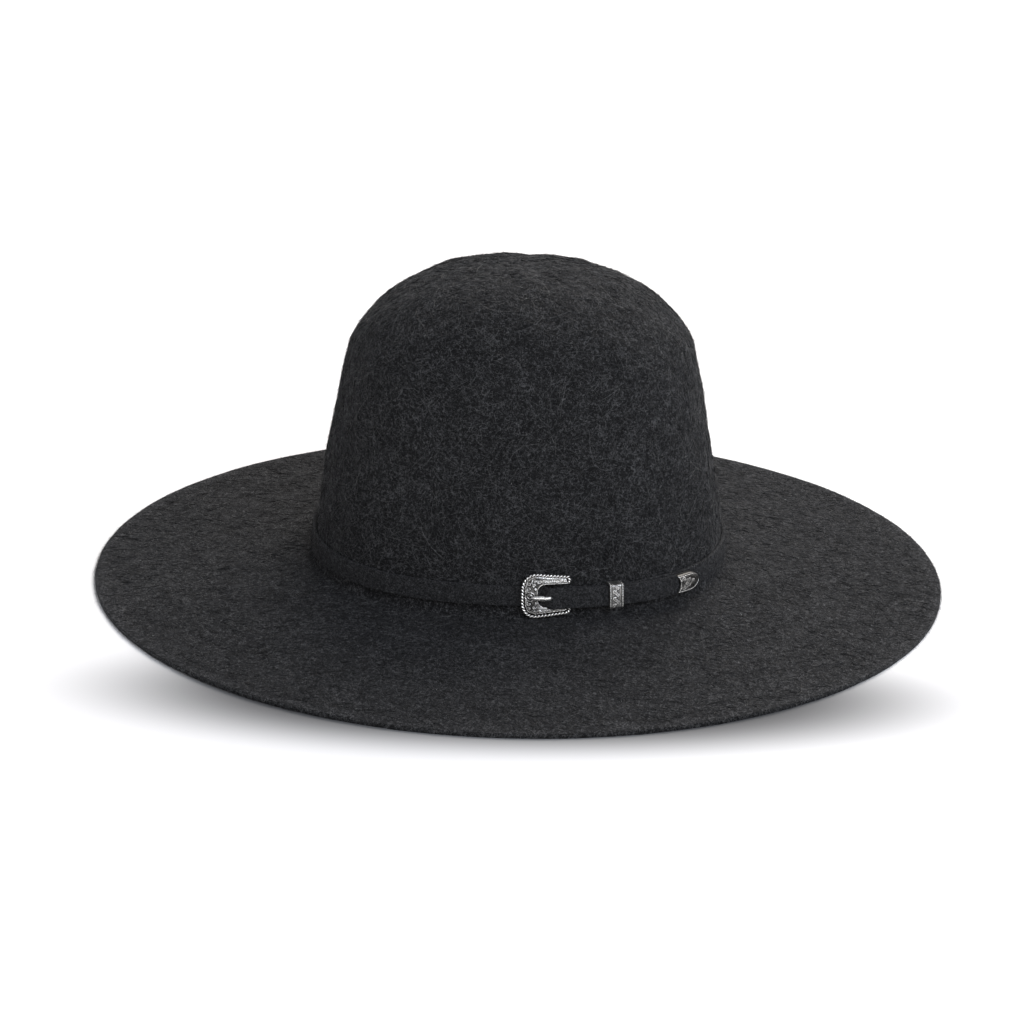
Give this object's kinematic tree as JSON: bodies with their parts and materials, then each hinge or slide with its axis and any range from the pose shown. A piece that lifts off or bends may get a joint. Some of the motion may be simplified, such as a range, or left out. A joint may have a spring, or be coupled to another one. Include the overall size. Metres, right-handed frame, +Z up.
{
  "type": "open-crown wide-brim felt hat",
  "caption": "Hat of black long-hair felt with an uncreased open crown, a wide flat brim and a narrow felt strap closed by a metal buckle set.",
  "frame": {"origin": "on the surface that the hat rests on, under the middle of the brim", "axes": "+Z up through the crown, -X towards the front of the hat, -Y towards the wearer's left side, where the buckle is"},
  "size_m": [0.433, 0.403, 0.1647],
  "materials": {
    "felt": "long-hair black felt with fine light fibres lying in swirls",
    "strap_felt": "short-nap black felt",
    "aged_silver": "cast silver-coloured metal, bright on the raised scrolls and dark in the recesses"
  },
  "bodies": {
    "root": {"felt_body": "felt", "band_strap": "strap_felt", "buckle_frame": "aged_silver", "buckle_prong": "aged_silver", "keeper": "aged_silver", "strap_tip": "aged_silver"}
  },
  "joints": []
}
